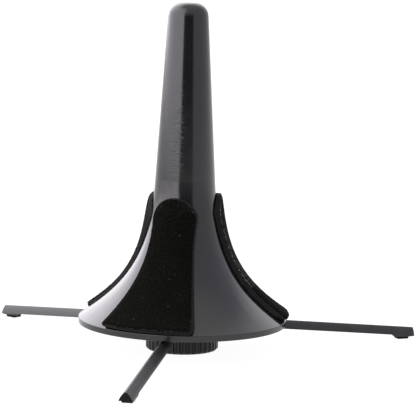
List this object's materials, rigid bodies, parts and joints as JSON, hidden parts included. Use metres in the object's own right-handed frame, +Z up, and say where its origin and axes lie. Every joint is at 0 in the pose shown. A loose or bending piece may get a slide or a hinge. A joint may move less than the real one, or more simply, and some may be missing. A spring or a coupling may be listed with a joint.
{
  "type": "trumpet stand",
  "caption": "Cone-shaped peg stand that holds a trumpet upright by its bell, with cloth-faced pads, fold-out legs and a screw knob that joins cone and legs.",
  "frame": {"origin": "where the cone's axis meets the floor that the feet stand on", "axes": "+Z up along the cone's axis, -Y along the front leg, +X to the right of it"},
  "size_m": [0.226, 0.1962, 0.1748],
  "materials": {
    "black_abs": "injection-moulded black ABS, satin gloss",
    "neoprene_foam": "closed-cell neoprene foam, cut edge",
    "velour_cloth": "black knitted velour, napped",
    "ribbed_abs": "moulded black ABS, ribbed grip",
    "moulded_nylon": "glass-filled nylon, as moulded",
    "natural_acetal": "natural acetal sheet, punched",
    "painted_steel": "black powder-painted pressed steel",
    "foot_rubber": "moulded black rubber",
    "zinc_plated_steel": "bright zinc plate",
    "spring_steel": "phosphated spring steel",
    "brass": "turned and knurled brass"
  },
  "bodies": {
    "base": {"hub": "moulded_nylon", "thrust_washer": "natural_acetal", "hinge_pin_1": "zinc_plated_steel", "hinge_pin_2": "zinc_plated_steel", "hinge_pin_3": "zinc_plated_steel"},
    "knob_assembly": {"knob": "ribbed_abs", "knob_cover": "moulded_nylon", "stud": "zinc_plated_steel", "retaining_clip": "spring_steel"},
    "cone_assembly": {"cone_shell": "black_abs", "threaded_insert": "brass", "pad_foam_1": "neoprene_foam", "pad_foam_2": "neoprene_foam", "pad_foam_3": "neoprene_foam", "pad_face_1": "velour_cloth", "pad_face_2": "velour_cloth", "pad_face_3": "velour_cloth"},
    "leg_assembly_1": {"leg_1": "painted_steel", "foot_plug_1": "foot_rubber"},
    "leg_assembly_2": {"leg_2": "painted_steel", "foot_plug_2": "foot_rubber"},
    "leg_assembly_3": {"leg_3": "painted_steel", "foot_plug_3": "foot_rubber"}
  },
  "joints": [
    {"name": "knob_turn", "type": "hinge", "parent": "base", "child": "knob_assembly", "pos_m": [0, 0, 0.006], "axis": [0, 0, 1], "continuous": true},
    {"name": "cone_lift", "type": "slide", "parent": "base", "child": "cone_assembly", "axis": [0, 0, 1], "range_m": [0, 0.16]},
    {"name": "leg_fold_1", "type": "hinge", "parent": "base", "child": "leg_assembly_1", "pos_m": [0, -0.011, 0.01473], "axis": [-1, 0, 0], "range_deg": [0, 99.2]},
    {"name": "leg_fold_2", "type": "hinge", "parent": "base", "child": "leg_assembly_2", "pos_m": [0.00953, 0.0055, 0.01473], "axis": [0.5, -0.866, 0], "range_deg": [0, 99.2]},
    {"name": "leg_fold_3", "type": "hinge", "parent": "base", "child": "leg_assembly_3", "pos_m": [-0.00953, 0.0055, 0.01473], "axis": [0.5, 0.866, 0], "range_deg": [0, 99.2]}
  ],
  "couplings": [
    {"joint": "leg_fold_1", "follows": "cone_lift", "rad_per_m": 10.821},
    {"joint": "leg_fold_2", "follows": "cone_lift", "rad_per_m": 10.821},
    {"joint": "leg_fold_3", "follows": "cone_lift", "rad_per_m": 10.821}
  ]
}
